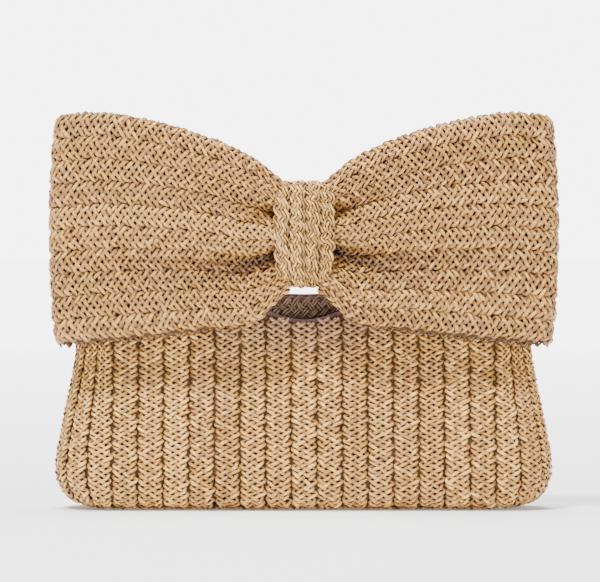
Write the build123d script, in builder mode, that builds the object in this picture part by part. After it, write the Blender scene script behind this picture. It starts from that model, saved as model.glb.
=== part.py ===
from build123d import *
import os

# Straw bow clutch: an open-top pouch of sewn straw braid with a large bow on its front.
# Millimetres, +Z up. The origin is the middle of the flat base, on the surface it stands on.
# The front, with the bow, faces -Y. Left and right are as seen from the front.

os.makedirs("parts", exist_ok=True)

# Pouch: outer surface as (height, half width, half depth) of its oval plan sections
POUCH_SECTIONS = [
    (0.0, 122.0, 19.0),
    (3.0, 133.0, 23.5),
    (8.0, 140.5, 26.3),
    (22.0, 145.4, 28.0),
    (45.0, 143.0, 23.0),
    (70.0, 139.0, 14.6),
    (88.0, 136.0, 9.4),
    (104.0, 134.0, 8.4),
    (129.0, 131.0, 8.0),
]
RIM_HEIGHT = 129.0
OVER_RIM = 12.0  # the inner shapes run on past the rim, so that the mouth is cut open
SECTION_ROUND = 0.96  # corner radius of a plan section over its half depth

# Layers of the wall, as depths below the outer surface
STRAW = 2.6
INTERLINING = 3.6
LINING = 4.4
RIM_BRAID = 4.6
POCKET = 5.2

# Where the wall is divided
BASE_SPLIT = 8.0
SIDE_SPLIT = 118.0
BODY_GAP = 0.4  # clear gap between the front body and the back body
BACK_RIM_BRAID_HEIGHT = 12.0
FRONT_RIM_BRAID_HEIGHT = 8.0
DIP_HALF_WIDTH = 60.0
DIP_DEPTH = 18.0

# Slip pocket on the back lining
POCKET_HALF_WIDTH = 62.0
POCKET_BOTTOM = 24.0
POCKET_TOP = 80.0

# Magnetic snap
SNAP_HEIGHT = 94.5
SNAP_RADIUS = 8.0
SNAP_DEPTH = 3.9
SNAP_FACE = 0.2
SOCKET_HOLE_RADIUS = 4.0
SOCKET_HOLE_FLOOR = 2.8
STUD_RADIUS = 3.0
STUD_REACH = 2.0
WASHER_RADIUS = 7.0
WASHER_HOLE_RADIUS = 2.5
WASHER_NEAR = 5.4
WASHER_THICK = 0.7

# Bow loops, in plan: front face, outer fold and back face
BOW_START = 17.7
BOW_TIP = 150.0
BOW_BACK = -13.2
BOW_MIDDLE = -24.0
BOW_FRONT_KNOT = -31.0
BOW_FRONT_BELLY = -36.5
BOW_FRONT_TIP = -33.0
BOW_SHEET = 2.6
BOW_TOP_EDGE = [(17.7, 197.5), (32.0, 209.0), (60.0, 221.0), (88.0, 229.0), (125.0, 234.0), (151.0, 231.0)]
BOW_BOTTOM_EDGE = [(151.0, 97.0), (120.0, 99.5), (72.0, 104.0), (40.0, 107.5), (24.0, 115.0), (17.7, 122.5)]

# Knot band round the waist of the bow
KNOT_HALF_WIDTH = 17.5
KNOT_BOTTOM = 130.5
KNOT_TOP = 195.5
KNOT_FRONT = -39.0
KNOT_BACK = -11.0
KNOT_SHEET = 3.0
KNOT_ROUND = 12.0
KNOT_EDGE = 1.2

# Thread tacks between the bow and the front panel
TACK_RADIUS = 0.9
TACK_HEIGHT = 115.0
TACK_SPACING = 11.0
TACK_COUNT = 4
TACK_MIDDLE = 90.0


def pouch_shape(inset):
    """The pouch as one closed solid, the given depth below its outer surface."""
    shift = inset / RIM_HEIGHT
    with BuildPart() as shape:
        for height, half_width, half_depth in POUCH_SECTIONS:
            with BuildSketch(Plane.XY.offset(height + inset - height * shift)):
                depth = half_depth - inset
                RectangleRounded(2 * (half_width - inset), 2 * depth, SECTION_ROUND * depth)
        if inset > 0:
            with BuildSketch(Plane.XY.offset(RIM_HEIGHT + OVER_RIM)):
                RectangleRounded(2 * (half_width - inset), 2 * depth, SECTION_ROUND * depth)
        loft()
    return shape.part


def block(x_range, y_range, z_range):
    """A box between two corners, used to cut the wall into its panels."""
    with BuildPart() as cutter:
        with BuildSketch(Plane.XY.offset(z_range[0])):
            with Locations(((x_range[0] + x_range[1]) / 2, (y_range[0] + y_range[1]) / 2)):
                Rectangle(x_range[1] - x_range[0], y_range[1] - y_range[0])
        extrude(amount=z_range[1] - z_range[0])
    return cutter.part


def above_dip(lowered):
    """Everything above the front rim's curve, with the curve lowered by the given height."""
    level = RIM_HEIGHT - lowered
    with BuildPart() as cutter:
        with BuildSketch(Plane.XZ.offset(-1.0)):
            with BuildLine():
                dip = Spline(
                    (-DIP_HALF_WIDTH, level),
                    (0, level - DIP_DEPTH),
                    (DIP_HALF_WIDTH, level),
                    tangents=[(1, 0), (1, 0), (1, 0)],
                )
                Polyline(
                    dip @ 1,
                    (BOW_TIP, level),
                    (BOW_TIP, RIM_HEIGHT + 2 * OVER_RIM),
                    (-BOW_TIP, RIM_HEIGHT + 2 * OVER_RIM),
                    (-BOW_TIP, level),
                    dip @ 0,
                )
            make_face()
        extrude(amount=BOW_TIP)
    return cutter.part


REACH = 200.0
OUTER = pouch_shape(0)
INSIDE_STRAW = pouch_shape(STRAW)
INSIDE_INTERLINING = pouch_shape(INTERLINING)
INSIDE_LINING = pouch_shape(LINING)
INSIDE_RIM_BRAID = pouch_shape(RIM_BRAID)
INSIDE_POCKET = pouch_shape(POCKET)

FRONT = ((-SIDE_SPLIT, SIDE_SPLIT), (-REACH, 0))
BACK = ((-SIDE_SPLIT + BODY_GAP, SIDE_SPLIT - BODY_GAP), (0, REACH))
LEFT = ((-REACH, -SIDE_SPLIT), (-REACH, REACH))
RIGHT = ((SIDE_SPLIT, REACH), (-REACH, REACH))
WALL = (BASE_SPLIT, RIM_HEIGHT)
BACK_WALL = (BASE_SPLIT + BODY_GAP, RIM_HEIGHT)
BELOW_RIM_BRAID = RIM_HEIGHT - BACK_RIM_BRAID_HEIGHT


def save(part, label):
    """Name a finished piece and write its STEP file."""
    part.label = label
    export_step(part, f"parts/{label}.step")


def snap_washer(side):
    """Prong washer of a snap half, behind the lining; side is -1 at the front and 1 at the back."""
    with BuildPart() as washer:
        with BuildSketch(Plane((0, side * WASHER_NEAR, SNAP_HEIGHT), z_dir=(0, side, 0))):
            Circle(WASHER_RADIUS)
            Circle(WASHER_HOLE_RADIUS, mode=Mode.SUBTRACT)
        extrude(amount=WASHER_THICK)
    return washer.part


FRONT_WASHER = snap_washer(-1)
BACK_WASHER = snap_washer(1)
save(FRONT_WASHER, "snap_socket_washer")
save(BACK_WASHER, "snap_stud_washer")


def wall_layer(outer, inner, region, heights, cuts=()):
    """The wall between two nested pouch shapes, kept inside a region, less some cutters."""
    with BuildPart() as layer:
        add(outer)
        add(inner, mode=Mode.SUBTRACT)
        add(block(*region, heights), mode=Mode.INTERSECT)
        for cutter in cuts:
            add(cutter, mode=Mode.SUBTRACT)
    return layer.part


# Straw shell of the pouch
save(wall_layer(OUTER, INSIDE_STRAW, FRONT, WALL, [above_dip(0), FRONT_WASHER]), "front_panel")
save(wall_layer(OUTER, INSIDE_STRAW, BACK, BACK_WALL, [BACK_WASHER]), "back_panel")
save(wall_layer(OUTER, INSIDE_STRAW, LEFT, WALL), "side_gusset_left")
save(wall_layer(OUTER, INSIDE_STRAW, RIGHT, WALL), "side_gusset_right")
save(wall_layer(OUTER, INSIDE_STRAW, ((-REACH, REACH), (-REACH, REACH)), (0, BASE_SPLIT)), "base_panel")

# Stiffening between straw and lining
FRONT_INTERLINING_CUTS = [above_dip(FRONT_RIM_BRAID_HEIGHT), FRONT_WASHER]
BACK_INNER_WALL = (BASE_SPLIT + BODY_GAP, BELOW_RIM_BRAID)
save(
    wall_layer(INSIDE_STRAW, INSIDE_INTERLINING, FRONT, WALL, FRONT_INTERLINING_CUTS),
    "front_interlining",
)
save(
    wall_layer(INSIDE_STRAW, INSIDE_INTERLINING, BACK, BACK_INNER_WALL, [BACK_WASHER]),
    "back_interlining",
)
save(
    wall_layer(INSIDE_STRAW, INSIDE_INTERLINING, ((-REACH, REACH), (-REACH, REACH)), (0, INTERLINING)),
    "base_board",
)

# Lining bag
save(
    wall_layer(INSIDE_INTERLINING, INSIDE_LINING, FRONT, WALL, FRONT_INTERLINING_CUTS),
    "front_lining",
)
save(
    wall_layer(INSIDE_INTERLINING, INSIDE_LINING, BACK, BACK_INNER_WALL, [BACK_WASHER]),
    "back_lining",
)
save(wall_layer(INSIDE_INTERLINING, INSIDE_LINING, LEFT, WALL), "side_lining_left")
save(wall_layer(INSIDE_INTERLINING, INSIDE_LINING, RIGHT, WALL), "side_lining_right")
save(
    wall_layer(INSIDE_INTERLINING, INSIDE_LINING, ((-REACH, REACH), (-REACH, REACH)), (0, BASE_SPLIT)),
    "base_lining",
)
POCKET_REGION = ((-POCKET_HALF_WIDTH, POCKET_HALF_WIDTH), (0, REACH))
save(
    wall_layer(INSIDE_LINING, INSIDE_POCKET, POCKET_REGION, (POCKET_BOTTOM, POCKET_TOP)),
    "slip_pocket",
)

# One braid sewn along the inside of each rim, where the lining stops
RIM_HEIGHTS = (BELOW_RIM_BRAID, RIM_HEIGHT)
with BuildPart() as front_rim_braid:
    add(INSIDE_STRAW)
    add(INSIDE_RIM_BRAID, mode=Mode.SUBTRACT)
    add(block(*FRONT, WALL), mode=Mode.INTERSECT)
    add(above_dip(FRONT_RIM_BRAID_HEIGHT), mode=Mode.INTERSECT)
    add(above_dip(0), mode=Mode.SUBTRACT)
save(front_rim_braid.part, "front_rim_braid")
save(wall_layer(INSIDE_STRAW, INSIDE_RIM_BRAID, BACK, RIM_HEIGHTS), "back_rim_braid")

# Magnetic snap: socket on the front lining, stud on the back lining
with BuildPart() as snap_socket:
    with BuildSketch(Plane((0, -SNAP_FACE, SNAP_HEIGHT), z_dir=(0, -1, 0))):
        Circle(SNAP_RADIUS)
    extrude(amount=SNAP_DEPTH - SNAP_FACE)
    with BuildSketch(Plane((0, -SNAP_FACE, SNAP_HEIGHT), z_dir=(0, -1, 0))):
        Circle(SOCKET_HOLE_RADIUS)
    extrude(amount=SOCKET_HOLE_FLOOR - SNAP_FACE, mode=Mode.SUBTRACT)
save(snap_socket.part, "snap_socket")

with BuildPart() as snap_stud:
    with BuildSketch(Plane((0, SNAP_FACE, SNAP_HEIGHT), z_dir=(0, 1, 0))):
        Circle(SNAP_RADIUS)
    extrude(amount=SNAP_DEPTH - SNAP_FACE)
    with BuildSketch(Plane((0, SNAP_FACE, SNAP_HEIGHT), z_dir=(0, -1, 0))):
        Circle(STUD_RADIUS)
    extrude(amount=SNAP_FACE + STUD_REACH)
save(snap_stud.part, "snap_stud")


# Bow: each side is a loop of straw sheet, open along its upper and lower edges
def bow_outline(side):
    """The wing seen from the front, as a solid through the whole depth of the bow."""
    top = [(side * x, z) for x, z in BOW_TOP_EDGE]
    bottom = [(side * x, z) for x, z in BOW_BOTTOM_EDGE]
    with BuildPart() as outline:
        with BuildSketch(Plane.XZ):
            with BuildLine():
                Spline(*top)
                Line(top[-1], bottom[0])
                Spline(*bottom)
                Line(bottom[-1], top[0])
            make_face()
        extrude(amount=-KNOT_FRONT)
    return outline.part


def bow_loop(side):
    """The whole loop of one side, cut to the wing's outline."""
    start = side * BOW_START
    belly = side * (BOW_START + BOW_TIP) / 2
    shoulder = side * (BOW_TIP + BOW_MIDDLE - BOW_BACK)
    with BuildPart() as loop:
        with BuildSketch(Plane.XY.offset(BOW_BOTTOM_EDGE[0][1] - 1)):
            with BuildLine():
                front = Spline((start, BOW_FRONT_KNOT), (belly, BOW_FRONT_BELLY), (shoulder, BOW_FRONT_TIP))
                tip = (side * BOW_TIP, BOW_MIDDLE)
                Spline(front @ 1, tip, (shoulder, BOW_BACK), tangents=[front % 1, (-side, 0)])
                Polyline((shoulder, BOW_BACK), (start, BOW_BACK), front @ 0)
            make_face()
        with BuildSketch(Plane.XY.offset(BOW_BOTTOM_EDGE[0][1] - 1), mode=Mode.PRIVATE) as hollow:
            with BuildLine():
                inner_start = start - side * BOW_SHEET
                front = Spline(
                    (inner_start, BOW_FRONT_KNOT + BOW_SHEET),
                    (belly, BOW_FRONT_BELLY + BOW_SHEET),
                    (shoulder, BOW_FRONT_TIP + BOW_SHEET),
                )
                tip = (side * (BOW_TIP - BOW_SHEET), BOW_MIDDLE)
                back = BOW_BACK - BOW_SHEET
                Spline(front @ 1, tip, (shoulder, back), tangents=[front % 1, (-side, 0)])
                Polyline((shoulder, back), (inner_start, back), front @ 0)
            make_face()
        height = BOW_TOP_EDGE[-2][1] - BOW_BOTTOM_EDGE[0][1] + 4
        extrude(amount=height)
        extrude(hollow.sketch, amount=height, mode=Mode.SUBTRACT)
        add(bow_outline(side), mode=Mode.INTERSECT)
    return loop.part


def bow_layer(loop, y_range):
    """One layer of a loop: the front one with the outer fold, or the flat back one."""
    with BuildPart() as layer:
        add(loop)
        add(block((-REACH, REACH), y_range, (0, 2 * REACH)), mode=Mode.INTERSECT)
    return layer.part


for side, name in ((-1, "left"), (1, "right")):
    loop = bow_loop(side)
    save(bow_layer(loop, (-REACH, BOW_BACK - BOW_SHEET)), f"bow_{name}_front")
    save(bow_layer(loop, (BOW_BACK - BOW_SHEET, 0)), f"bow_{name}_back")


def knot_section(inset):
    """Rounded section of the knot band, seen from the side, at a depth below its outer face."""
    with BuildSketch(Plane.YZ.offset(-KNOT_HALF_WIDTH)) as section:
        with Locations(((KNOT_FRONT + KNOT_BACK) / 2, (KNOT_TOP + KNOT_BOTTOM) / 2)):
            RectangleRounded(
                KNOT_BACK - KNOT_FRONT - 2 * inset,
                KNOT_TOP - KNOT_BOTTOM - 2 * inset,
                KNOT_ROUND - inset,
            )
    return section.sketch


KNOT_OUTSIDE = knot_section(0)
KNOT_INSIDE = knot_section(KNOT_SHEET)

with BuildPart() as knot_band:
    extrude(KNOT_OUTSIDE, amount=2 * KNOT_HALF_WIDTH)
    rims = knot_band.faces().sort_by(Axis.X)
    fillet(rims[0].edges() + rims[-1].edges(), KNOT_EDGE)
    extrude(KNOT_INSIDE, amount=2 * KNOT_HALF_WIDTH, mode=Mode.SUBTRACT)
save(knot_band.part, "knot_band")

with BuildPart() as bow_waist:
    extrude(KNOT_INSIDE, amount=2 * KNOT_HALF_WIDTH)
save(bow_waist.part, "bow_waist")

# Thread tacks that hold the bow's back layer to the front panel
with BuildPart() as bow_tacks:
    panel_face = -POUCH_SECTIONS[-1][2]
    with BuildSketch(Plane((0, BOW_BACK, 0), x_dir=(1, 0, 0), z_dir=(0, -1, 0))):
        for side in (-1, 1):
            with Locations((side * TACK_MIDDLE, TACK_HEIGHT)):
                with GridLocations(TACK_SPACING, 1, TACK_COUNT, 1):
                    Circle(TACK_RADIUS)
    extrude(amount=BOW_BACK - panel_face)
    add(OUTER, mode=Mode.SUBTRACT)
save(bow_tacks.part, "bow_tacks")
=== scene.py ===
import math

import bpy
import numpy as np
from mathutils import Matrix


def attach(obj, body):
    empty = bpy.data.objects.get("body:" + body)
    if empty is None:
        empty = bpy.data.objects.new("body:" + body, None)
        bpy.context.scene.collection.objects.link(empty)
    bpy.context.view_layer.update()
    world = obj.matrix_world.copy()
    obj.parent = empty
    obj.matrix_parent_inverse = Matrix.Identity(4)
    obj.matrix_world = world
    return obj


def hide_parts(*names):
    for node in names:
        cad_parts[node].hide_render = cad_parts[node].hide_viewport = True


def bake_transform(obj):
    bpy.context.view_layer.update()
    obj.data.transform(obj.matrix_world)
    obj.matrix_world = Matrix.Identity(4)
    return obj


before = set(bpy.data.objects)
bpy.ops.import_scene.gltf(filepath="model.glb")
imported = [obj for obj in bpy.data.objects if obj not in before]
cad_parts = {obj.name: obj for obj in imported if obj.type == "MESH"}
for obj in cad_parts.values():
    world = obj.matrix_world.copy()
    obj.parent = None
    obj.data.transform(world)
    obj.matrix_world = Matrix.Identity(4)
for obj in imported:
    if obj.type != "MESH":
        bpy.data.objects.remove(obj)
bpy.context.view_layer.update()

# Straw bow clutch. Lengths are millimetres in the CAD model's frame, and become metres when a
# mesh is made. Every braid is modelled straw by straw: five flat straws, or four pairs in the
# knot and rim, are plaited over and under on a curved sheet, which is a function that turns
# (across, along, inset) into points. Names: v is the share of the bow's height below its top edge.

MM = 0.001
FRONT, BACK = "front_body", "back_body"

# Pouch wall, from the rim down: half width, half depth and height of its oval sections
POUCH = np.array([
    (131.0, 8.0, 129.0), (134.0, 8.4, 104.0), (136.0, 9.4, 88.0), (139.0, 14.6, 70.0),
    (144.2, 23.0, 45.0), (147.4, 28.0, 22.0), (143.0, 26.3, 8.0), (135.5, 23.0, 2.6),
    (124.0, 17.0, 0.0), (113.0, 9.0, 0.0),
])
RIM = 129.0
FOOT = 2.3
SECTION_ROUND = 0.96
WIDE_HALF = 145.4
WIDE_HALF_DEPTH = 28.0
FLAT_HALF = 117.4
TAPES_AROUND = 43
TAPES_FRONT = 7
TAPES_SIDE = 6
TAPE_OVERLAP = 0.9
BODY_PITCH = 3.6

# How far below the pouch's outer face each layer lies
STRAW_SHEET = 2.6
BACKING_INSET = 2.7
LINING_TUCKED = 3.2
LINING_NEAR = 4.4
RIM_BRAID_INSET = 4.7
PIPING_INSET = 2.3
BACKING_THICK = 0.35
LINING_THICK = 0.8

# Where the layers start below the rim, and end short of the middle of the base
RIM_START = 0.9
LINING_START = 0.8
BACKING_END = 14.0
LINING_END = 22.0
DIP_HALF_WIDTH = 60.0
DIP_DEPTH = 18.0
BACK_DIP_HALF_WIDTH = 48.0
BACK_DIP_DEPTH = 2.8
RIM_PITCH = 5.7
RIM_BRAID_MIDDLE = 6.6
PIPING_RISE = 0.6
PIPING_RADIUS = 1.2

# Depths of the mouth's bend, which lean with the walls; the script uses them only to keep a piece off its
# body, with its transform baked
STRAW_BEND = (4.9, 18.2)
LINING_BEND = (7.9, 13.8)
RIM_BEND = (9.5, 15.1)

# Bow
BOW_ROWS = 10
BOW_PITCH = 3.9
BOW_ROW_OVERLAP = 2.2
BOW_SHEET_WIDTH = 134.0
BOW_START = 9.0
BOW_REACH = 142.0
BOW_CORNER = 144.2
BOW_TIP = 149.2
BOW_MIDDLE = -24.0
FOLD_RADIUS = 8.2
HEM_LIFT = 3.0
UPPER_CREASE = 11.5
LOWER_CREASE = 13.5
CREASE_LIMIT = 10.0
KNOT_SIDE = 16.0

# The loop's top edge, bottom edge and front face: half width, then height or depth
BOW_TOP = np.array([
    (9.0, 191.0), (18.0, 199.0), (32.0, 209.0), (60.0, 221.0), (88.0, 229.0), (123.0, 234.0),
    (150.0, 231.0),
])
BOW_BOTTOM = np.array([
    (9.0, 129.0), (16.0, 123.5), (24.6, 115.0), (38.0, 109.0), (72.0, 103.8), (120.0, 98.8),
    (150.0, 96.2),
])
BOW_FRONT = np.array([
    (9.0, -28.5), (22.0, -31.5), (50.0, -34.5), (84.0, -36.0), (120.0, -35.0), (142.0, -32.6),
])

# Knot
KNOT_HALF_WIDTH = 17.5
KNOT_CENTRE = (-25.0, 163.0)
KNOT_HALF_DEPTH = 13.6
KNOT_HALF_HEIGHT = 32.0
KNOT_SQUARENESS = 3.4
KNOT_TAPES = 4
KNOT_PITCH = 7.4


def smooth_curve(x, points):
    """Monotone cubic through a few (x, y) points."""
    xs, ys = points[:, 0], points[:, 1]
    step = np.diff(xs)
    slope = np.diff(ys) / step
    near, far = 2 * step[1:] + step[:-1], step[1:] + 2 * step[:-1]
    safe = np.where(slope == 0, 1e-9, slope)
    mean = (near + far) / (near / safe[:-1] + far / safe[1:])
    tangent = np.concatenate(([slope[0]], np.where(slope[:-1] * slope[1:] > 0, mean, 0), [slope[-1]]))
    i = np.clip(np.searchsorted(xs, x) - 1, 0, len(step) - 1)
    t = (x - xs[i]) / step[i]
    return (
        (1 + 2 * t) * (1 - t) ** 2 * ys[i] + t * (1 - t) ** 2 * step[i] * tangent[i]
        + t * t * (3 - 2 * t) * ys[i + 1] + t * t * (t - 1) * step[i] * tangent[i + 1]
    )


def ease(t):
    """Smooth step from 0 to 1."""
    t = np.clip(t, 0, 1)
    return t * t * (3 - 2 * t)


def bump(x, centre, width):
    """Bell curve of height 1."""
    return np.exp(-(((x - centre) / width) ** 2))


# ---------------------------------------------------------------- curved sheets
WALL_PATH = np.concatenate(([0], np.cumsum(np.hypot(np.diff(POUCH[:, 1]), np.diff(POUCH[:, 2])))))
WALL_LENGTH = WALL_PATH[-1]
SIDE_MIDDLE = (
    WIDE_HALF - WIDE_HALF_DEPTH + WIDE_HALF_DEPTH * (1 - SECTION_ROUND) * 2
    + math.pi / 2 * WIDE_HALF_DEPTH * SECTION_ROUND
)
BACK_MIDDLE = 2 * SIDE_MIDDLE
AROUND = 4 * SIDE_MIDDLE
TAPE_PITCH = AROUND / TAPES_AROUND
BOW_ROW = BOW_SHEET_WIDTH / BOW_ROWS
BOW_RUN = BOW_REACH - FOLD_RADIUS - BOW_START
BOW_ARC = math.pi * FOLD_RADIUS


def from_front(across):
    """Signed distance round the pouch from the front's middle, for a place any way round it."""
    return np.mod(across + AROUND / 2, AROUND) - AROUND / 2


def wall(across, along, inset=STRAW_SHEET / 2):
    """Pouch wall: across runs round the pouch from the front's middle, along runs down from the rim."""
    width, depth, height = (
        smooth_curve(along, np.stack([WALL_PATH, POUCH[:, k]], 1)) for k in range(3)
    )
    height = height + np.maximum(inset, FOOT) * (1 - height / RIM)
    width, depth = width - inset, np.maximum(depth - inset, 1.0)
    radius = SECTION_ROUND * depth
    flat_x, flat_y = width - radius, depth - radius
    half = flat_x + math.pi / 2 * radius + flat_y
    around = from_front(across)
    side = np.where(around < 0, -1.0, 1.0)
    folded = np.abs(around)
    back = folded > SIDE_MIDDLE
    folded = np.where(back, BACK_MIDDLE - folded, folded)
    past = (folded - FLAT_HALF) / (SIDE_MIDDLE - FLAT_HALF)
    arc = np.where(folded < FLAT_HALF, folded, FLAT_HALF + past * (half - FLAT_HALF))
    angle = np.clip((arc - flat_x) / radius, 0, math.pi / 2)
    x = np.where(arc < flat_x, arc, flat_x + radius * np.sin(angle))
    y = -(flat_y + radius * np.cos(angle))
    y = y + np.clip(arc - flat_x - math.pi / 2 * radius, 0, None)
    return np.stack([side * x, np.where(back, -y, y), height], -1)


def rim_dip(across):
    """How far the rim hangs below the side rims: deep in front of the bow's gap, slight at the back."""
    around = np.abs(from_front(across))
    front = DIP_DEPTH * (1 - ease(around / DIP_HALF_WIDTH))
    back = BACK_DIP_DEPTH * (1 - ease((BACK_MIDDLE - around) / BACK_DIP_HALF_WIDTH))
    return front + back


def bow_creases(x, v):
    """Depths of the two gathers that leave the knot and fade along the loop, each with a side fold."""
    near = np.clip(x - KNOT_SIDE, 0, None)
    upper = np.exp(-near / 30.0) * bump(v, 0.30, 0.042 + 0.0011 * near)
    centre = 0.60 + 0.065 * ease(near / 50.0)
    spread = np.where(v < centre, 0.026 + 0.00025 * near, 0.12 + 0.0006 * near)
    lower = np.exp(-near / 85.0) * (1 - ease((x - 95.0) / 35.0)) * bump(v, centre, spread)
    rising = 0.26 * np.exp(-near / 32.0) * bump(v, 0.33 + 0.0042 * near, 0.028)
    falling = 0.38 * (1 - ease((x - 30.0) / 65.0)) * bump(v, 0.62 + 0.0036 * near, 0.036)
    return upper + rising, lower + falling * (1 - 0.6 * lower)


def bow_relief(x, v):
    """Forward bulge of the bow's front sheet: puffs between sunk creases, and rolled edges."""
    near = np.clip(x - KNOT_SIDE, 0, None)
    upper, lower = bow_creases(x, v)
    roll = 4.5 * np.clip(1 - v / 0.10, 0, 1) ** 2 + 5.5 * np.clip(1 - (1 - v) / 0.09, 0, 1) ** 2
    puffs = bump(v, 0.14, 0.12) + bump(v, 0.47, 0.10) + bump(v, 0.88, 0.09)
    crown = 4.0 * np.exp(-near / 55.0) * puffs
    swell = 1.6 * np.sin(v * 9.0 + x * 0.021) * ease(near / 70.0)
    sunk = CREASE_LIMIT * (1 - np.exp(-(UPPER_CREASE * upper + LOWER_CREASE * lower) / CREASE_LIMIT))
    return crown + swell - sunk - roll * ease(near / 30.0)


def turned(v, turn_low):
    """The v at which a loop's creases are looked up, so that the two loops aren't twins."""
    return v + turn_low * bump(v, 0.6, 0.3)


def bow(turn_low):
    """Sheet of the left bow loop: across runs down the rows, along runs out, round the fold and back."""

    def sheet(across, along, inset=0.0):
        v = across / BOW_SHEET_WIDTH
        row = np.clip(v, 0, 1) * BOW_ROWS
        corner = BOW_CORNER + (BOW_TIP - BOW_CORNER) * np.clip(4 * v * (1 - v), 0, 1) ** 0.55
        corner = corner - 0.9 * np.abs(np.cos(math.pi * row))
        fold_start = corner - FOLD_RADIUS
        front = along < BOW_RUN
        behind = along > BOW_RUN + BOW_ARC
        way_back = (2 * BOW_RUN + BOW_ARC - along) / BOW_RUN
        share = np.where(front, along / BOW_RUN, np.where(behind, way_back, 1.0))
        angle = np.clip((along - BOW_RUN) / FOLD_RADIUS, 0, math.pi)
        x = BOW_START + share * (fold_start - BOW_START) + (FOLD_RADIUS - inset) * np.sin(angle)
        top, bottom = smooth_curve(x, BOW_TOP), smooth_curve(x, BOW_BOTTOM)
        hem = HEM_LIFT * (1 - ease(angle / math.pi)) * ease((x - 30) / 30)
        z = top + (bottom + hem - top) * v
        face = smooth_curve(np.clip(x, BOW_START, BOW_REACH), BOW_FRONT)
        face = face - bow_relief(x, turned(v, turn_low)) + inset
        rear = BOW_MIDDLE + FOLD_RADIUS - inset
        meet = ease((share - 0.80) / 0.20)
        face = face + (BOW_MIDDLE - FOLD_RADIUS + inset - face) * meet
        middle = (face + rear) / 2
        y = np.where(front, face, np.where(behind, rear, middle - (rear - face) / 2 * np.cos(angle)))
        return np.stack([-x, y, z], -1)

    return sheet


def superellipse(angle, half_depth, half_height):
    """Depth and height of the knot's squarish loop at an angle."""
    power = 2 / KNOT_SQUARENESS
    depth = half_depth * np.sign(np.cos(angle)) * np.abs(np.cos(angle)) ** power
    rise = half_height * np.sign(np.sin(angle)) * np.abs(np.sin(angle)) ** power
    return depth, rise


def knot_table():
    """Even spacing of the knot's superellipse: share of its length to share of a turn."""
    turn = np.linspace(0, 1, 2001)
    y, z = superellipse(np.linspace(0, 2 * math.pi, 2001) + math.pi / 2, KNOT_HALF_DEPTH, KNOT_HALF_HEIGHT)
    length = np.concatenate(([0], np.cumsum(np.hypot(np.diff(y), np.diff(z)))))
    share = length / length[-1]
    return length[-1], lambda part: np.interp(part, share, turn)


KNOT_LENGTH, KNOT_ANGLE = knot_table()


def knot(across, along, inset=0.0):
    """Knot band: across runs over its width, along runs round it from the top, down the front."""
    angle = math.pi / 2 + KNOT_ANGLE(np.mod(along, KNOT_LENGTH) / KNOT_LENGTH) * 2 * math.pi
    depth, rise = superellipse(angle, KNOT_HALF_DEPTH - inset, KNOT_HALF_HEIGHT - inset)
    part = across / KNOT_HALF_WIDTH
    waist = 1 - 0.14 * ease((-rise - 6) / 26.0) + 0.02 * ease((rise - 12) / 20.0)
    crown = 1 - 0.13 * np.abs(part) ** 3
    y = KNOT_CENTRE[0] + depth * crown - 0.6 * np.cos(part * 5.0 + 0.6) * (depth < 0)
    z = KNOT_CENTRE[1] + rise * (1 - 0.03 * np.abs(part) ** 3)
    return np.stack([across * waist, y, z], -1)


# ---------------------------------------------------------------- braids
# A straw's section, as (sideways, up), and how much light each of its corners gets
STRAW_RING = ((-1.0, -0.1), (-0.62, 0.72), (0.0, 1.0), (0.62, 0.72), (1.0, -0.1), (0.0, -0.8))
RING_LIGHT = (0.15, 0.76, 1.0, 0.76, 0.15, 0.7)
CROSSING_BLUR = np.array([1.0, 2.0, 2.0, 1.0]) / 6


def zigzag(phase, rounding):
    """A strand's path from one edge of the braid (-1) to the other (1) and back, for phase 0 to 1."""
    line = 1 - 4 * np.abs(np.mod(phase, 1.0) - 0.5)
    return rounding * np.sin(math.pi / 2 * line) + (1 - rounding) * line


def over_under(phase, strands):
    """Height of a strand, 1 over and -1 under, as it crosses each of the others in turn."""
    place = np.mod(phase, 1.0) * 2
    outward = place < 1
    crossing = np.where(outward, place, 2 - place) * strands
    knots = np.arange(strands + 1)
    heights = np.where(knots % 2 == 1, 1.0, -1.0)
    heights[0] = heights[-1] = 0
    height = np.interp(crossing, knots, heights)
    return np.where(outward, height, -height)


def wobble(rng, shape, s, size, wave):
    """Smooth random waver along each straw."""
    total = 0
    for factor in (1.0, 0.53, 0.29):
        phase = rng.uniform(0, 2 * math.pi, shape)[..., None]
        total = total + np.sin(s * (2 * math.pi / (wave * factor)) + phase)
    return size * total / 1.7


def soften(line):
    """A strand's height with its crossings blurred."""
    return np.convolve(np.pad(line, 2, "edge"), CROSSING_BLUR, "same")[2:-2]


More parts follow.
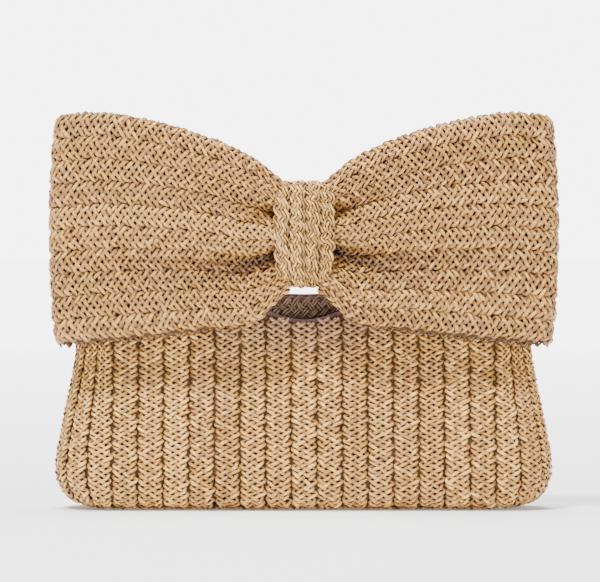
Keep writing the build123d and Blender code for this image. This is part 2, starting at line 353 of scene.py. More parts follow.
def braid_rings(sheet, centres, start, end, width, pitch, rng, strands=5, straws=1, straw=2.6, lift=1.2,
                rounding=0.3, tilt=0.5, thick=0.85, sink=1.0, scallop=0.09, sway=0.4, fold=None, step=0.8):
    """Rings of every straw of several parallel braids, as (braid, straw, ring, corner, xyz + openness).

    Openness is painted light and shade: 1 on a straw's crest and 0 down in the gaps, which the material
    darkens as painted shade.
    centres are the braids' middles across the sheet; start and end are functions of the across
    place, or numbers. A braid has strands of straws each, a straw wide and thick. lift is how high
    a strand rides over, rounding how softly it turns at the edge, scallop how wavy the edge is,
    sway how far the braid wanders, sink and tilt how its edges lie, and fold is a function that
    paints shade into the bottom of a crease. step is the spacing of the rings.
    """
    centres = np.asarray(centres, float)
    count = len(centres)
    start = start(centres) if callable(start) else np.full(count, float(start))
    end = end(centres) if callable(end) else np.full(count, float(end))
    samples = int(math.ceil(float(np.max(end - start)) / step)) + 1
    s = start[:, None] + (end - start)[:, None] * np.linspace(0, 1, samples)[None]
    s = s[:, None, None, :]
    offset = rng.uniform(0, pitch, count)[:, None, None, None]
    strand = np.arange(strands)[None, :, None, None]
    shape = (count, strands, straws)
    phase = ((s + offset) / pitch - strand) / strands + wobble(rng, (count, strands, 1), s, 0.016, 23.0)
    reach = (width - 0.9 * straw * straws ** 0.8) / 2
    u = zigzag(phase, rounding) * reach * (1 + scallop * np.sin(math.pi * (s + offset) / pitch))
    height = over_under(phase, strands) * lift
    height = np.apply_along_axis(soften, -1, height)
    slope = np.gradient(u, axis=-1) / np.gradient(s, axis=-1)
    length = np.sqrt(1 + slope * slope)
    lateral = np.stack([1 / length, -slope / length], -1)
    twin = (np.arange(straws) - (straws - 1) / 2)[None, None, :, None]
    aside = twin * straw * (1 + wobble(rng, shape, s, 0.16, 17.0))
    widths = rng.normal(0, 0.07, shape)[..., None]
    half = straw / 2 * 0.98 * (1 + widths + wobble(rng, shape, s, 0.08, 13.0))
    loose = wobble(rng, shape, s, 0.32, 7.0)
    tilted = wobble(rng, shape, s, 0.55, 9.0)
    sink = sink * rng.uniform(0.4, 1.4, (count, 1, 1, 1))
    tilt = tilt * rng.uniform(0.5, 1.5, (count, 1, 1, 1))
    sway = wobble(rng, (count, 1, 1), s, sway, 21.0)
    corners = []
    # Each corner's openness is painted light: its share of RING_LIGHT, less where a strand dips under a
    # neighbour, and less at a crease's bottom.
    for (out, up), light in zip(STRAW_RING, RING_LIGHT):
        crossing = np.clip(0.72 + 0.40 * math.copysign(1, up + 0.5) * height / lift, 0.2, 1)
        across = u + lateral[..., 0] * (aside + half * out)
        along = s + lateral[..., 1] * (aside + half * out)
        rise = height + loose + thick * up + tilted * thick * out
        rise = rise - sink * np.clip(np.abs(2 * u / width), 0, 1.1) ** 4 + tilt * 2 * u / width
        across = centres[:, None, None, None] + sway + across
        place = on_sheet(sheet, across, along, rise)
        shadow = fold(across, along) if fold else 1.0
        openness = np.broadcast_to(light * crossing * shadow, place.shape[:-1])
        corners.append(np.concatenate([place, openness[..., None]], -1))
    return np.stack(corners, -2).reshape(count, strands * straws, samples, len(STRAW_RING), 4)


def on_sheet(sheet, across, along, rise):
    """Points at a height above a sheet's outer face."""
    across, along, rise = np.broadcast_arrays(across, along, rise)
    here = sheet(across, along)
    step = 0.4
    side = sheet(across + step, along) - sheet(across - step, along)
    down = sheet(across, along + step) - sheet(across, along - step)
    normal = np.cross(down, side)
    normal = normal / np.maximum(np.linalg.norm(normal, axis=-1, keepdims=True), 1e-9)
    return here + normal * rise[..., None]


def new_object(name, vertices, faces, uvs=None):
    """A smooth mesh object from arrays of vertices in mm, faces, and one UV per face corner."""
    mesh = bpy.data.meshes.new(name)
    mesh.vertices.add(len(vertices))
    mesh.vertices.foreach_set("co", (np.asarray(vertices, float) * MM).ravel())
    mesh.loops.add(faces.size)
    mesh.loops.foreach_set("vertex_index", faces.ravel().astype(np.int32))
    mesh.polygons.add(len(faces))
    mesh.polygons.foreach_set("loop_start", (np.arange(len(faces)) * faces.shape[1]).astype(np.int32))
    mesh.polygons.foreach_set("use_smooth", np.full(len(faces), True))
    if uvs is not None:
        layer = mesh.uv_layers.new(name="OFBake")
        layer.data.foreach_set("uv", np.asarray(uvs, np.float32).ravel())
    mesh.update(calc_edges=True)
    obj = bpy.data.objects.new(name, mesh)
    bpy.context.scene.collection.objects.link(obj)
    return obj


def set_values(obj, label, values):
    """A named number on each vertex, for a material to read."""
    layer = obj.data.attributes.new(label, "FLOAT", "POINT")
    layer.data.foreach_set("value", np.asarray(values, np.float32))


def straw_strips(straws, samples, corners):
    """UVs of one set of straws, each straw unrolled on its own strip of the square."""
    i = np.arange(samples - 1)[:, None]
    k = np.arange(corners)[None, :]
    along = np.stack([i, i + 1, i + 1, i], -1) / (samples - 1) + 0 * k[..., None]
    around = (np.stack([k, k, k + 1, k + 1], -1) / corners + 0 * i[..., None]) * 0.84 + 0.08
    strip = np.arange(straws)[:, None, None]
    strips = np.empty((straws, (samples - 1) * corners, 4, 2))
    strips[..., 0] = along.reshape(-1, 4)[None]
    strips[..., 1] = (around.reshape(-1, 4)[None] + strip) / straws
    return strips


def braid_object(name, rings, rng, flip=False):
    """One mesh of all the straws in a set of rings, each straw an open-ended tube of its own tone."""
    rings = rings.reshape(-1, *rings.shape[2:])
    straws, samples, corners = rings.shape[:3]
    i = np.arange(samples - 1)[:, None]
    k = np.arange(corners)[None, :]
    after = (k + 1) % corners
    quad = np.stack([
        i * corners + k, (i + 1) * corners + k, (i + 1) * corners + after, i * corners + after,
    ], -1).reshape(-1, 4)
    uvs = straw_strips(straws, samples, corners)
    if flip:
        quad, uvs = quad[:, ::-1], uvs[:, :, ::-1]
    faces = quad[None] + np.arange(straws)[:, None, None] * samples * corners
    obj = new_object(name, rings[..., :3].reshape(-1, 3), faces.reshape(-1, 4), uvs)
    set_values(obj, "tone", np.repeat(rng.uniform(0, 1, straws), samples * corners))
    set_values(obj, "openness", rings[..., 3].reshape(-1))
    return obj


def slab(name, sheet, across, along, inner, outer, ripple=None, mirror=1):
    """A closed thin sheet of cloth between two depths of a curved sheet."""
    a, b = np.meshgrid(across, along, indexing="ij")
    waver = ripple(a, b) if ripple else 0.0
    near = on_sheet(sheet, a, b, outer + waver)
    far = on_sheet(sheet, a, b, inner + waver)
    rows, columns = a.shape
    vertices = np.concatenate([near.reshape(-1, 3), far.reshape(-1, 3)]) * (mirror, 1, 1)
    i, k = np.meshgrid(np.arange(rows - 1), np.arange(columns - 1), indexing="ij")
    corner = i * columns + k
    quad = np.stack([corner, corner + columns, corner + columns + 1, corner + 1], -1).reshape(-1, 4)
    size = rows * columns
    edge = np.concatenate([
        np.arange(columns), np.arange(1, rows) * columns + columns - 1,
        (rows - 1) * columns + np.arange(columns - 2, -1, -1), np.arange(rows - 2, 0, -1) * columns,
    ])
    after = np.roll(edge, -1)
    rim = np.stack([edge, after, after + size, edge + size], -1)
    faces = np.concatenate([quad, quad[:, ::-1] + size, rim])
    if mirror > 0:
        faces = faces[:, ::-1]
    return new_object(name, vertices, faces)


# ---------------------------------------------------------------- materials
BLACK, WHITE = (0, 0, 0), (1, 1, 1)


def node_material(name, roughness=0.6, metallic=0.0, sheen=0.0):
    """A new material with its tree, its shader and the object's own coordinates."""
    material = bpy.data.materials.new(name)
    material.use_nodes = True
    tree = material.node_tree
    shader = tree.nodes["Principled BSDF"]
    shader.inputs["Roughness"].default_value = roughness
    shader.inputs["Metallic"].default_value = metallic
    if sheen:
        shader.inputs["Sheen Weight"].default_value = sheen
    coordinates = tree.nodes.new("ShaderNodeTexCoord")
    return material, tree, shader, coordinates.outputs["Object"]


def noise(tree, vector, scale, detail=3.0, roughness=0.55, stretch=None):
    """Noise texture's factor, optionally stretched along the axes."""
    if stretch:
        mapping = tree.nodes.new("ShaderNodeMapping")
        mapping.inputs["Scale"].default_value = stretch
        tree.links.new(vector, mapping.inputs["Vector"])
        vector = mapping.outputs["Vector"]
    node = tree.nodes.new("ShaderNodeTexNoise")
    node.inputs["Scale"].default_value = scale
    node.inputs["Detail"].default_value = detail
    node.inputs["Roughness"].default_value = roughness
    tree.links.new(vector, node.inputs["Vector"])
    return node.outputs["Fac"]


def ramp(tree, factor, stops):
    """Colour ramp through (position, colour) stops."""
    node = tree.nodes.new("ShaderNodeValToRGB")
    elements = node.color_ramp.elements
    elements[0].position, elements[0].color = stops[0][0], (*stops[0][1], 1)
    elements[1].position, elements[1].color = stops[-1][0], (*stops[-1][1], 1)
    for position, colour in stops[1:-1]:
        elements.new(position).color = (*colour, 1)
    tree.links.new(factor, node.inputs["Fac"])
    return node.outputs["Color"]


def mix(tree, factor, first, second, blend="MIX"):
    """Mix of two colours, by a socket or a number."""
    node = tree.nodes.new("ShaderNodeMix")
    node.data_type = "RGBA"
    node.blend_type = blend
    for socket, value in ((node.inputs[0], factor), (node.inputs[6], first), (node.inputs[7], second)):
        if hasattr(value, "is_linked"):
            tree.links.new(value, socket)
        elif isinstance(value, tuple):
            socket.default_value = (*value, 1)
        else:
            socket.default_value = value
    return node.outputs[2]


def maths(tree, operation, first, second=None):
    """One arithmetic node."""
    node = tree.nodes.new("ShaderNodeMath")
    node.operation = operation
    for socket, value in zip(node.inputs, (first, second)):
        if value is None:
            continue
        if hasattr(value, "is_linked"):
            tree.links.new(value, socket)
        else:
            socket.default_value = value
    return node.outputs[0]


def add_bump(tree, shader, height, strength, distance):
    """Bump on the shader's normal."""
    node = tree.nodes.new("ShaderNodeBump")
    node.inputs["Strength"].default_value = strength
    node.inputs["Distance"].default_value = distance
    tree.links.new(height, node.inputs["Height"])
    tree.links.new(node.outputs["Normal"], shader.inputs["Normal"])


def painted_lip_shadow(tree, place, colour, strength):
    """Painted shadow: duller, purple-grey straw in the middle of the rim, where the knot and bow shade the
    front's top.
    """
    parts = tree.nodes.new("ShaderNodeSeparateXYZ")
    tree.links.new(place, parts.inputs[0])
    high = ramp(tree, parts.outputs["Z"], [(0.084, BLACK), (0.108, WHITE)])
    middle = ramp(tree, maths(tree, "ABSOLUTE", parts.outputs["X"]), [(0.018, WHITE), (0.068, BLACK)])
    lip_shadow = maths(tree, "MULTIPLY", high, middle)
    return mix(tree, maths(tree, "MULTIPLY", lip_shadow, strength), colour, (0.27, 0.155, 0.10))


def attribute(tree, name):
    """A number stored on the mesh's vertices."""
    node = tree.nodes.new("ShaderNodeAttribute")
    node.attribute_name = name
    return node.outputs["Fac"]


def straw_colour(tree, place):
    """Each straw's own tone with fine flecks, under broad rosy and mossy patches."""
    fleck = noise(tree, place, 420.0, 2.0)
    tone = maths(tree, "MULTIPLY", attribute(tree, "tone"), 0.75)
    shade = maths(tree, "ADD", tone, maths(tree, "MULTIPLY", fleck, 0.6))
    colour = ramp(tree, shade, [
        (0.15, (0.27, 0.125, 0.022)), (0.45, (0.43, 0.220, 0.046)), (0.72, (0.57, 0.315, 0.074)),
        (0.95, (0.76, 0.470, 0.150)),
    ])
    rosy = ramp(tree, noise(tree, place, 34.0, 2.0), [(0.52, BLACK), (0.70, WHITE)])
    colour = mix(tree, maths(tree, "MULTIPLY", rosy, 0.38), colour, (0.66, 0.37, 0.19))
    patches = noise(tree, place, 41.0, 2.0, stretch=(1.0, 1.0, 0.8))
    mossy = ramp(tree, patches, [(0.56, BLACK), (0.72, WHITE)])
    return mix(tree, maths(tree, "MULTIPLY", mossy, 0.45), colour, (0.47, 0.33, 0.05))


def straw_material(name, tint, lip_shadow=0.0):
    """Paper straw with fibre streaks, tinted as a whole, with painted shade down in the gaps and, where
    asked, a painted shadow on the rim's middle.
    """
    material, tree, shader, place = node_material(name, roughness=0.42)
    colour = straw_colour(tree, place)
    # Painted shadow of the knot and bow on the middle of the rim.
    if lip_shadow:
        colour = painted_lip_shadow(tree, place, colour, lip_shadow)
    red, green, blue = tint
    # Painted shade: the lower a corner's openness, the darker the straw, down to near black in the gaps.
    painted_shade = ramp(tree, attribute(tree, "openness"), [
        (0.15, (0.05 * red, 0.025 * green, 0.012 * blue)), (0.50, (0.42 * red, 0.34 * green, 0.26 * blue)),
        (0.85, tint),
    ])
    colour = mix(tree, 1.0, colour, painted_shade, "MULTIPLY")
    tree.links.new(colour, shader.inputs["Base Color"])
    streak = noise(tree, place, 1400.0, 2.0, stretch=(1.0, 1.0, 0.35))
    add_bump(tree, shader, streak, 0.35, 0.0003)
    return material


def cloth_material(name, dark, light, roughness=0.7, sheen=0.3, threads=1500.0):
    """Plain woven cloth: fine crossing threads under a slow change of shade."""
    material, tree, shader, place = node_material(name, roughness=roughness, sheen=sheen)
    weft = noise(tree, place, threads, 1.0, stretch=(0.12, 1.0, 1.0))
    warp = noise(tree, place, threads, 1.0, stretch=(1.0, 0.12, 0.12))
    threads_height = maths(tree, "MAXIMUM", weft, warp)
    slow = noise(tree, place, 25.0, 3.0)
    fine, broad = maths(tree, "MULTIPLY", threads_height, 0.6), maths(tree, "MULTIPLY", slow, 0.5)
    shade = maths(tree, "ADD", fine, broad)
    tree.links.new(ramp(tree, shade, [(0.40, dark), (0.80, light)]), shader.inputs["Base Color"])
    add_bump(tree, shader, threads_height, 0.5, 0.0003)
    return material


def metal_material():
    """Satin brass-plated steel with faint turning marks and handling dulling."""
    material, tree, shader, place = node_material("snap_metal", roughness=0.32, metallic=1.0)
    dull, bright = (0.62, 0.48, 0.26), (0.83, 0.70, 0.44)
    wear = ramp(tree, noise(tree, place, 160.0, 4.0), [(0.30, dull), (0.70, bright)])
    tree.links.new(wear, shader.inputs["Base Color"])
    add_bump(tree, shader, noise(tree, place, 900.0, 2.0), 0.12, 0.0001)
    return material


def board_material():
    """Grey-brown pressed board with short fibres."""
    material, tree, shader, place = node_material("board", roughness=0.9)
    fibre = noise(tree, place, 700.0, 4.0, stretch=(0.3, 1.0, 1.0))
    colour = ramp(tree, fibre, [(0.35, (0.17, 0.12, 0.075)), (0.70, (0.30, 0.22, 0.14))])
    tree.links.new(colour, shader.inputs["Base Color"])
    add_bump(tree, shader, fibre, 0.4, 0.0003)
    return material


# Copies of one straw: the body's tint is lightened, painted light for a more brightly lit body, and the rim's
# is darkened, painted shade inside the mouth; the bow's is darker and yellower. 0.8 sets the painted shadow
# on the rim's middle.
STRAW = straw_material("straw_body_lightened", (1.22, 1.20, 1.14), lip_shadow=0.8)
BOW_STRAW = straw_material("straw_bow", (0.84, 0.78, 0.66))
KNOT_STRAW = straw_material("straw_knot", (0.92, 0.92, 0.91))
SHADED_RIM_STRAW = straw_material("straw_rim_shaded", (0.60, 0.60, 0.60), lip_shadow=0.8)
LINING = cloth_material("lining", (0.030, 0.009, 0.007), (0.080, 0.028, 0.020), sheen=0.05)
# The interlining's brown is partly its own colour and partly painted shade: made near black so the gaps
# between straws look shadowed.
INTERLINING = cloth_material(
    "interlining", (0.042, 0.021, 0.007), (0.100, 0.053, 0.019), roughness=0.95, sheen=0.0,
)
THREAD = cloth_material("thread", (0.30, 0.19, 0.09), (0.52, 0.36, 0.19), threads=2600.0)
METAL = metal_material()
BOARD = board_material()


def finish_piece(obj, material, slot, body, *nodes, bend=None):
    """Give a piece its material, attach it to its body or, given bend, bake its transform instead, and hide
    the CAD nodes it stands for; slot is not used.
    """
    obj.data.materials.clear()
    obj.data.materials.append(material)
    if bend:
        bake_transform(obj)
    else:
        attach(obj, body)
    if nodes:
        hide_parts(*nodes)
    return obj


# ---------------------------------------------------------------- pouch
def wall_start(centres):
    """Where each wall braid starts below the rim: lower where the rim dips."""
    return RIM_START + rim_dip(centres)


def fine_enough(first, last):
    """Places across a cloth about 2.5 mm apart."""
    return np.linspace(first, last, max(12, int((last - first) / 2.5)))


def wall_weave(name, first, last, seed, body, nodes):
    """The wall braids numbered first to last, counted round the pouch from the front's middle."""
    rng = np.random.default_rng(seed)
    centres = np.arange(first, last + 1) * TAPE_PITCH
    width = TAPE_PITCH + TAPE_OVERLAP
    rings = braid_rings(wall, centres, wall_start, WALL_LENGTH - 1, width, BODY_PITCH, rng)
    obj = braid_object(name, rings, rng, flip=True)
    return finish_piece(obj, STRAW, "straw", body, *nodes, bend=STRAW_BEND)


def backing(name, first, last, body, nodes):
    """Stiff dark cloth that the wall's braids are stitched to, seen in the gaps between straws, where its
    near-black brown is partly painted shade.
    """

    def behind(a, b):
        top = wall_start(a)
        return wall(a, top + (WALL_LENGTH - BACKING_END - top) * b, BACKING_INSET)

    obj = slab(name, behind, fine_enough(first, last), np.linspace(0, 1, 60), -BACKING_THICK, 0)
    finish_piece(obj, INTERLINING, "interlining", body, *nodes, bend=STRAW_BEND)


def pouch_weave():
    """The straw wall of the pouch, in panels, each on its backing cloth."""
    front, side = TAPES_FRONT, TAPES_SIDE
    middle = (TAPES_AROUND + 1) // 2
    edge, far_edge = FLAT_HALF, BACK_MIDDLE - FLAT_HALF
    front_weaves = [
        wall_weave("front_weave_left", -front, -1, 1, FRONT, []),
        wall_weave("front_weave_right", 0, front, 2, FRONT, ["front_panel"]),
    ]
    right_weave = wall_weave("side_weave_right", front + 1, front + side, 3, FRONT, ["side_gusset_right"])
    left_weave = wall_weave("side_weave_left", -front - side, -front - 1, 4, FRONT, ["side_gusset_left"])
    back_weaves = [
        wall_weave("back_weave_right", front + side + 1, middle - 1, 5, BACK, ["back_panel"]),
        wall_weave("back_weave_left", middle, TAPES_AROUND - front - side - 1, 6, BACK, []),
    ]
    backing("front_backing", -edge, edge, FRONT, ["front_interlining"])
    backing(
        "back_backing", far_edge, BACK_MIDDLE + edge, BACK, ["back_interlining"],
    )
    backing("side_backing_right", edge, far_edge, FRONT, [])
    backing("side_backing_left", -far_edge, -edge, FRONT, [])


def base_weave():
    """Three braids along the base, inside the wall's turned-under ends."""
    rng = np.random.default_rng(7)

    def floor(across, along):
        return np.stack([along, -across, FOOT + 0 * along], -1)

    rings = braid_rings(floor, (-13.0, 0.0, 13.0), -112.0, 112.0, 14.0, BODY_PITCH, rng)
    finish_piece(braid_object("base_weave", rings, rng), STRAW, "straw", FRONT, "base_panel")


def lined(across, along):
    """The wall at the lining's depth, which is behind the rim braid at the top."""
    return wall(across, along, LINING_TUCKED + (LINING_NEAR - LINING_TUCKED) * ease((along - 14.0) / 6.0))


def lining_panel(name, first, last, body, node, bend=None):
    """One panel of the lining bag, from the rim down to the base."""

    def hung(a, b):
        top = LINING_START + rim_dip(a)
        return lined(a, top + (WALL_LENGTH - LINING_END - top) * b)

    obj = slab(name, hung, fine_enough(first, last), np.linspace(0, 1, 50), -LINING_THICK, 0)
    finish_piece(obj, LINING, "lining", body, node, bend=bend)


def lining_bag():
    """The lining's four walls and its floor."""
    edge, far_edge = FLAT_HALF, BACK_MIDDLE - FLAT_HALF
    lining_panel("lining_front", -edge, edge, FRONT, "front_lining")
    lining_panel("lining_back", far_edge, BACK_MIDDLE + edge, BACK, "back_lining")
    lining_panel("lining_side_right", edge, far_edge, FRONT, "side_lining_right", LINING_BEND)
    lining_panel("lining_side_left", -far_edge, -edge, FRONT, "side_lining_left", LINING_BEND)

    def floor(a, b):
        return np.stack([a, b, 5.2 + 0.2 * np.sin(a * 0.05) * np.cos(b * 0.2)], -1)

    base = slab("lining_base", floor, np.linspace(-118, 118, 90), np.linspace(-15, 15, 14), 0, LINING_THICK)
    finish_piece(base, LINING, "lining", FRONT, "base_lining")


def rim_braids():
    """One braid of doubled straws along the inside of the rim; the front's is narrower."""

    def inner_rim(across, along):
        return wall(along, across + RIM_BRAID_MIDDLE + wall_start(along) - RIM_START, RIM_BRAID_INSET)

    edge, far_edge = FLAT_HALF, BACK_MIDDLE - FLAT_HALF
    rng = np.random.default_rng(11)
    for name, start, end, width, body, nodes, bend in (
        ("rim_braid_front", -edge, edge, 9.0, FRONT, ["front_rim_braid"], None),
        ("rim_braid_back", far_edge, BACK_MIDDLE + edge, 14.0, BACK, ["back_rim_braid"], None),
        ("rim_braid_right", edge, far_edge, 14.0, FRONT, [], RIM_BEND),
        ("rim_braid_left", -far_edge, -edge, 14.0, FRONT, [], RIM_BEND),
    ):
        shift = (width - 13.0) / 2
        rings = braid_rings(
            inner_rim, [shift], start, end, width, RIM_PITCH, rng, 4, 2, straw=1.6, lift=0.55, thick=0.36,
        )
        finish_piece(braid_object(name, rings, rng), SHADED_RIM_STRAW, "straw", body, *nodes, bend=bend)


def cord_rings(loops):
    """Rings of tubes that are fully open to the light, as braid_object takes them."""
    rings = np.stack(loops)[:, None]
    return np.concatenate([rings, np.ones(rings.shape[:-1] + (1,))], -1)


def rim_piping():
    """Lining cloth rolled over a cord along the top of the rim, following its dips."""
    edge, far_edge = FLAT_HALF, BACK_MIDDLE - FLAT_HALF
    for name, start, end, body, bend in (
        ("rim_piping_front", -edge, edge, FRONT, None),
        ("rim_piping_back", far_edge, BACK_MIDDLE + edge, BACK, None),
        ("rim_piping_right", edge, far_edge, FRONT, STRAW_BEND),
        ("rim_piping_left", -far_edge, -edge, FRONT, STRAW_BEND),
    ):
        along = np.linspace(start, end, max(30, int((end - start) / 1.5)))
        middle = wall(along, wall_start(along) - PIPING_RISE, PIPING_INSET)
        rings = cord_rings([thread_loop(middle, PIPING_RADIUS, 10)])
        piping = braid_object(name, rings, np.random.default_rng(12))
        finish_piece(piping, LINING, "lining", body, bend=bend)


def slip_pocket():
    """Flat pocket on the back lining, with a turned hem and a stitch line along its mouth."""
    half_width, top, bottom = 62.0, 50.0, 104.0

    def patch(a, b):
        return wall(a, b, LINING_NEAR + LINING_THICK)

    def hem(a, b):
        return -0.55 * bump(b, top + 1.6, 1.8) - 0.3 * bump(b, top + 8.0, 0.8)

    across = np.linspace(BACK_MIDDLE - half_width, BACK_MIDDLE + half_width, 60)
    obj = slab("slip_pocket_cloth", patch, across, np.linspace(top, bottom, 40), -0.7, -0.05, hem)
    finish_piece(obj, LINING, "lining", BACK, "slip_pocket")


def lathe(name, profile, origin, direction, sides=48):
    """A turned piece: (radius, reach) points spun about the Y axis through origin."""
    angle = np.linspace(0, 2 * math.pi, sides, endpoint=False)
    points = np.array(profile, float)
    ring = np.stack([
        origin[0] + points[:, 0, None] * np.cos(angle),
        origin[1] + direction * points[:, 1, None] + 0 * angle,
        origin[2] + points[:, 0, None] * np.sin(angle),
    ], -1)
    count = len(points)
    i, k = np.meshgrid(np.arange(count - 1), np.arange(sides), indexing="ij")
    after = (k + 1) % sides
    faces = np.stack([i * sides + k, (i + 1) * sides + k, (i + 1) * sides + after, i * sides + after], -1)
    faces = faces.reshape(-1, 4)
    if direction < 0:
        faces = faces[:, ::-1]
    return new_object(name, ring.reshape(-1, 3), faces)


def snaps():
    """Magnetic snap halves: a pressed cup with its magnet ring, and a stud on a dished plate."""
    seat, height = 3.9, 94.5
    cup = [
        (0.01, 1.1), (3.6, 1.1), (3.9, 1.3), (4.0, 3.4), (4.3, 3.7), (6.6, 3.7), (7.2, 3.5), (7.7, 3.0),
        (7.9, 2.2), (7.9, 0.5), (7.5, 0.1), (0.01, 0.05),
    ]
    socket = lathe("snap_cup", cup[::-1], (0, -seat, height), 1)
    finish_piece(socket, METAL, "snap_metal", FRONT, "snap_socket")
    plate = [
        (0.01, 5.9), (2.2, 5.9), (2.8, 5.5), (2.95, 4.0), (3.4, 3.75), (5.9, 3.75), (6.9, 3.4), (7.7, 2.6),
        (7.9, 1.6), (7.9, 0.4), (7.5, 0.1), (0.01, 0.05),
    ]
    stud = lathe("snap_stud_plate", plate[::-1], (0, seat, height), -1)
    finish_piece(stud, METAL, "snap_metal", BACK, "snap_stud")


# ---------------------------------------------------------------- bow
def bow_backing(name, sheet, mirror):
    """Dark cloth that a loop's rows are stitched to, all the way round it; its near-black brown, seen between
    the straws, is partly painted shade.
    """
    across = np.linspace(1.4, BOW_SHEET_WIDTH - 1.4, 64)
    along = np.linspace(1.0, 2 * BOW_RUN + BOW_ARC - 1.0, 150)
    cloth = slab(name, sheet, across, along, -2.4, -2.0, mirror=mirror)
    finish_piece(cloth, INTERLINING, "interlining", FRONT)


def bow_loop(name, mirror, turn_low, seed):
    """One loop of the bow: a front sheet that turns round the fold, a back sheet and their backing."""
    sheet = bow(turn_low)
    centres = (np.arange(BOW_ROWS) + 0.5) * BOW_ROW

    def fold(across, along):
        # Painted shade in the bottoms of the two creases on the loop's front.
        upper, lower = bow_creases(BOW_START + along, turned(across / BOW_SHEET_WIDTH, turn_low))
        return 1 - np.where(along < BOW_RUN, 0.45 * upper ** 2 + 0.6 * lower ** 2, 0)

    turn = BOW_RUN + BOW_ARC
    for part, start, end, draw in (("front", 0.0, turn, seed), ("back", turn, turn + BOW_RUN, seed + 10)):
        rng = np.random.default_rng(draw)
        rings = braid_rings(
            sheet, centres, start, end, BOW_ROW + BOW_ROW_OVERLAP, BOW_PITCH, rng,
            straw=2.7, sink=0.3, tilt=0.35, scallop=0.12, fold=fold, step=0.85,
        )
        rings = rings * (mirror, 1, 1, 1)
        weave = braid_object(f"bow_{name}_{part}_weave", rings, rng, flip=mirror > 0)
        finish_piece(weave, BOW_STRAW, "straw", FRONT, f"bow_{name}_{part}")
    bow_backing(f"bow_{name}_interlining", sheet, mirror)


def knot_weave():
    """The knot band: braids pulled tight round the waist."""
    rng = np.random.default_rng(31)
    pitch = 2 * KNOT_HALF_WIDTH / KNOT_TAPES
    centres = (np.arange(KNOT_TAPES) - (KNOT_TAPES - 1) / 2) * pitch

    def band(across, along):
        return knot(across, along, 1.8)

    rings = braid_rings(
        band, centres, 0, KNOT_LENGTH, pitch + 1.2, KNOT_PITCH, rng, 4, 2,
        straw=1.75, lift=0.8, thick=0.55, sink=0.5, rounding=0.15, sway=0.3, step=0.6,
    )
    finish_piece(braid_object("knot_weave", rings, rng), KNOT_STRAW, "straw", FRONT, "knot_band")


def bow_waist():
    """The gathered straw inside the knot."""

    def core(across, along):
        return knot(across, along, 4.6 + 1.1 * np.sin(along * 0.52 + 0.02 * across ** 2))

    across, along = np.linspace(-17.2, 17.2, 24), np.linspace(0, KNOT_LENGTH, 240)
    waist = slab("bow_waist_gathers", core, across, along, -1.4, 0)
    # An even tone, and openness 0.55 paints the gathers inside the knot half in shade.
    for label, value in (("tone", 0.5), ("openness", 0.55)):
        set_values(waist, label, np.full(len(waist.data.vertices), value))
    finish_piece(waist, KNOT_STRAW, "straw", FRONT, "bow_waist")


def thread_loop(points, radius, sides=6):
    """Rings of a closed thread tube along points."""
    points = np.asarray(points, float)
    tangent = np.gradient(points, axis=0)
    tangent /= np.linalg.norm(tangent, axis=1, keepdims=True)
    first = np.cross(tangent, (0.13, 0.21, 0.97))
    first /= np.linalg.norm(first, axis=1, keepdims=True)
    second = np.cross(tangent, first)
    angle = np.linspace(0, 2 * math.pi, sides, endpoint=False)
    return points[:, None] + radius * (
        first[:, None] * np.cos(angle)[None, :, None] + second[:, None] * np.sin(angle)[None, :, None]
    )


def tacks():
    """Thread tacks from the bow's back sheet to the front wall, three turns of thread each."""
    middle, spacing, per_side, turns = 90.0, 11.0, 4, 3
    t = np.linspace(0, 2 * math.pi, 25)
    loops = []
    for side in (-1, 1):
        for k in range(per_side):
            for turn in range(turns):
                x = side * (middle + spacing * (k - 1.5)) + 0.5 * (turn - 1) + 0.25 * np.sin(t)
                points = np.stack([x, -11.0 + 4.6 * np.cos(t), 115 + 1.5 * np.sin(t)], -1)
                loops.append(thread_loop(points, 0.3))
    obj = braid_object("tack_threads", cord_rings(loops), np.random.default_rng(41))
    finish_piece(obj, THREAD, "thread", FRONT, "bow_tacks")


def dress_cad_nodes():
    """Hidden pieces keep their CAD shape and get their own materials."""
    for name, material in (("base_board", BOARD), ("snap_socket_washer", METAL), ("snap_stud_washer", METAL)):
        materials = bpy.data.objects[name].data.materials
        materials.clear()
        materials.append(material)


# ---------------------------------------------------------------- studio
FLOOR_REACH = 9000.0
HORIZON = 6.0
SKY = 0.075
LAMP_TARGET = (0, -0.02, 0.12)
LAMPS = (
    ("key", (-0.7, -1.1, 2.1), 100.0, 0.40),
    ("fill", (0.9, -2.1, 0.40), 36.0, 1.2),
    ("top", (0.0, 0.1, 2.1), 80.0, 1.0),
)
CAMERA_SIDE = -0.0023
CAMERA_DISTANCE = 2.6
CAMERA_HEIGHT = 0.19
PICTURE_MIDDLE = 0.129
PICTURE_WIDTH = 0.351
FACE_NEARER = 0.034
SENSOR = 36.0


def aim(obj, target):
    """Point an object's -Z axis at a place."""
    away = np.array(obj.location) - np.array(target)
    flat = math.hypot(away[0], away[1])
    obj.rotation_euler = (math.atan2(flat, away[2]), 0, math.atan2(away[0], -away[1]))


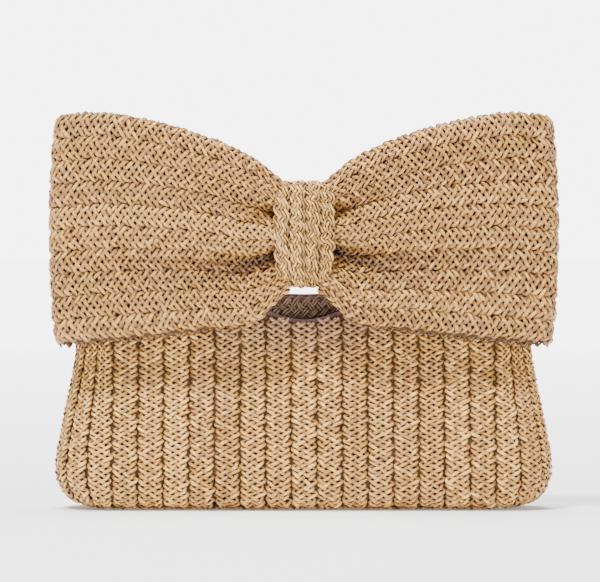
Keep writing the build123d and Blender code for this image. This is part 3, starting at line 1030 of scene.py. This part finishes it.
def pale_floor():
    """Wide pale floor that glows brighter away from the bag: painted light, an emission standing in for paper
    under a soft light.
    """
    far = FLOOR_REACH
    corners = np.array([(-far, -far, 0), (far, -far, 0), (far, far, 0), (-far, far, 0)])
    floor = new_object("floor", corners, np.array([[0, 1, 2, 3]]))
    material, tree, shader, place = node_material("floor", roughness=0.95)
    paper = ramp(tree, noise(tree, place, 3.0), [(0.3, (0.94, 0.94, 0.94)), (0.7, (0.96, 0.96, 0.96))])
    tree.links.new(paper, shader.inputs["Base Color"])
    # Painted light: emission that is dim near the bag and rises to the sides and behind it.
    away = tree.nodes.new("ShaderNodeSeparateXYZ")
    tree.links.new(place, away.inputs["Vector"])
    aside = maths(tree, "SUBTRACT", maths(tree, "ABSOLUTE", away.outputs["X"]), 0.3)
    reach = maths(tree, "MULTIPLY", maths(tree, "MAXIMUM", aside, away.outputs["Y"]), 0.25)
    glow = ramp(tree, reach, [(0.02, (0.04, 0.04, 0.04)), (0.7, WHITE)])
    tree.links.new(glow, shader.inputs["Emission Color"])
    shader.inputs["Emission Strength"].default_value = HORIZON * 0.85
    floor.data.materials.append(material)


def surround():
    """Dim white surround with a bright band at the horizon behind the bag."""
    world = bpy.data.worlds.new("studio")
    bpy.context.scene.world = world
    world.use_nodes = True
    tree = world.node_tree
    direction = tree.nodes.new("ShaderNodeTexCoord")
    split = tree.nodes.new("ShaderNodeSeparateXYZ")
    tree.links.new(direction.outputs["Generated"], split.inputs["Vector"])
    band = ramp(tree, maths(tree, "ABSOLUTE", split.outputs["Z"]), [(0.045, WHITE), (0.09, BLACK)])
    behind = ramp(tree, maths(tree, "ADD", split.outputs["Y"], 1.0), [(0.3, BLACK), (0.8, WHITE)])
    glow = mix(tree, 1.0, band, behind, "MULTIPLY")
    background = tree.nodes["Background"]
    tree.links.new(mix(tree, glow, (SKY, SKY, SKY), (1.0, 1.0, 1.0)), background.inputs["Color"])
    background.inputs["Strength"].default_value = HORIZON


def lamps():
    """A soft key from the upper left, a low soft fill from the front right and a soft top light."""
    for name, place, energy, size in LAMPS:
        light = bpy.data.lights.new(name, "AREA")
        light.energy, light.size = energy, size
        lamp = bpy.data.objects.new(name, light)
        bpy.context.scene.collection.objects.link(lamp)
        lamp.location = place
        aim(lamp, LAMP_TARGET)


def camera():
    """Nearly level view of the front, as the photograph's, PICTURE_WIDTH across at the bow's face."""
    data = bpy.data.cameras.new("camera")
    obj = bpy.data.objects.new("camera", data)
    bpy.context.scene.collection.objects.link(obj)
    data.lens = SENSOR * (CAMERA_DISTANCE - FACE_NEARER) / PICTURE_WIDTH
    obj.location = (CAMERA_SIDE, -CAMERA_DISTANCE, CAMERA_HEIGHT)
    aim(obj, (CAMERA_SIDE, 0, PICTURE_MIDDLE))
    bpy.context.scene.camera = obj


camera()
pale_floor()
surround()
lamps()
pouch_weave()
base_weave()
lining_bag()
rim_braids()
rim_piping()
slip_pocket()
snaps()
bow_loop("left", 1, 0.0, 21)
bow_loop("right", -1, 0.035, 22)
knot_weave()
bow_waist()
tacks()
dress_cad_nodes()
